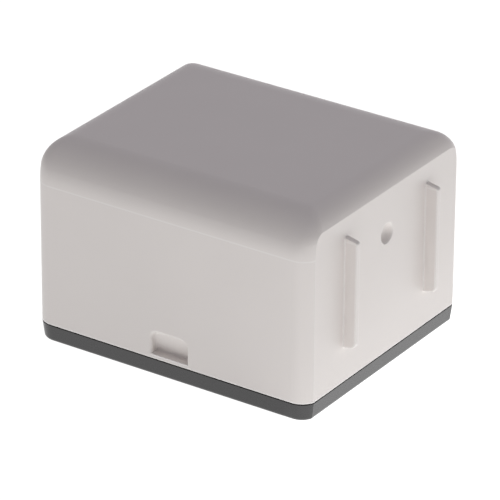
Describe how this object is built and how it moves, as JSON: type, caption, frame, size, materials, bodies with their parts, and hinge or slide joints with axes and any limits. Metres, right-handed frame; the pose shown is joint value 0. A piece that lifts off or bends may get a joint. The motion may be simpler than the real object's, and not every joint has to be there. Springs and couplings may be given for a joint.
{
  "type": "wall battery unit",
  "caption": "Box-shaped wall battery: round cells and a board on a dark wall plate, under a white pull-off cover with a finger pocket, two end fins and a dimple.",
  "frame": {"origin": "centre of the wall plate's back face, where it meets the wall", "axes": "+Z away from the wall, +X along the cells towards the end with the two fins, -Y the side with the finger pocket"},
  "size_m": [0.0939, 0.0776, 0.0598],
  "materials": {
    "cover_plastic": "fine satin texture, off-white moulded ABS",
    "plate_plastic": "fine matte texture, dark grey moulded ABS",
    "black_rubber": "matte",
    "liner_foam": "closed-cell foam",
    "bracket_plastic": "moulded, glass-filled",
    "cell_sleeve": "heat-shrunk sleeve",
    "steel": "nickel-plated",
    "nickel": "rolled strip",
    "insulating_paper": "fibrous vulcanised paper",
    "white_paper": "pressed paper ring",
    "board_laminate": "solder mask over glass-epoxy",
    "chip_black": "moulded epoxy",
    "tinned_metal": "tinned",
    "solder": "solder",
    "ceramic": "ceramic",
    "ferrite": "sintered",
    "aluminium_can": "drawn",
    "red_lead": "silicone sleeve",
    "black_lead": "silicone sleeve",
    "white_lead": "thin sleeve",
    "terminal_plastic": "moulded nylon",
    "brass": "plated",
    "switch_plastic": "moulded",
    "epoxy_bead": "dipped"
  },
  "bodies": {
    "base": {"board_screws": "steel", "bracket_screws": "steel", "button_body": "switch_plastic", "cable_grommet": "black_rubber", "capacitor_bases": "switch_plastic", "capacitors": "aluminium_can", "cell_1": "cell_sleeve", "cell_2": "cell_sleeve", "cell_3": "cell_sleeve", "cell_4": "cell_sleeve", "cell_5": "cell_sleeve", "cell_6": "cell_sleeve", "cell_bracket_left": "bracket_plastic", "cell_bracket_right": "bracket_plastic", "cell_caps": "steel", "chip_leads": "tinned_metal", "circuit_board": "board_laminate", "corner_posts": "bracket_plastic", "fuse_body": "ceramic", "fuse_caps": "tinned_metal", "inductor": "ferrite", "insulator_rings": "white_paper", "insulator_sheet_left": "insulating_paper", "insulator_sheet_right": "insulating_paper", "main_lead_minus": "black_lead", "main_lead_plus": "red_lead", "mosfet_tabs": "tinned_metal", "mosfets": "chip_black", "nickel_strips_left": "nickel", "nickel_strips_right": "nickel", "post_rings": "black_rubber", "protection_chip": "chip_black", "seal_gasket": "black_rubber", "sense_lead_left": "white_lead", "sense_lead_right": "white_lead", "shunt_resistor": "chip_black", "small_parts": "ceramic", "solder_joints": "solder", "switch_body": "tinned_metal", "terminal_block": "terminal_plastic", "terminal_contact_minus": "tinned_metal", "terminal_contact_plus": "tinned_metal", "thermistor": "epoxy_bead", "wall_plate": "plate_plastic"},
    "cover": {"cover_shell": "cover_plastic", "cover_liner": "liner_foam"},
    "clamp_screw_minus": {"clamp_screw_minus": "steel"},
    "clamp_cage_minus": {"clamp_cage_minus": "brass"},
    "clamp_screw_plus": {"clamp_screw_plus": "steel"},
    "clamp_cage_plus": {"clamp_cage_plus": "brass"},
    "switch_slider": {"switch_slider": "switch_plastic"},
    "button_plunger": {"button_plunger": "ceramic"}
  },
  "joints": [
    {"name": "cover_lift", "type": "slide", "parent": "base", "child": "cover", "axis": [0, 0, 1], "range_m": [0, 0.065]},
    {"name": "clamp_screw_minus_turn", "type": "hinge", "parent": "base", "child": "clamp_screw_minus", "pos_m": [-0.0264, -0.00275, 0.0544], "axis": [0, 0, -1], "range_deg": [0, 1080]},
    {"name": "clamp_cage_minus_rise", "type": "slide", "parent": "base", "child": "clamp_cage_minus", "axis": [0, 0, 1], "range_m": [0, 0.00135]},
    {"name": "clamp_screw_plus_turn", "type": "hinge", "parent": "base", "child": "clamp_screw_plus", "pos_m": [-0.0264, 0.00275, 0.0544], "axis": [0, 0, -1], "range_deg": [0, 1080]},
    {"name": "clamp_cage_plus_rise", "type": "slide", "parent": "base", "child": "clamp_cage_plus", "axis": [0, 0, 1], "range_m": [0, 0.00135]},
    {"name": "switch_slide", "type": "slide", "parent": "base", "child": "switch_slider", "axis": [1, 0, 0], "range_m": [0, 0.002]},
    {"name": "wake_press", "type": "slide", "parent": "base", "child": "button_plunger", "axis": [0, 0, -1], "range_m": [0, 0.0003], "stiffness_N_per_m": 600, "springref_m": -0.0001}
  ],
  "couplings": [
    {"joint": "clamp_screw_minus_turn", "follows": "clamp_cage_minus_rise", "rad_per_m": 13963},
    {"joint": "clamp_screw_plus_turn", "follows": "clamp_cage_plus_rise", "rad_per_m": 13963}
  ]
}
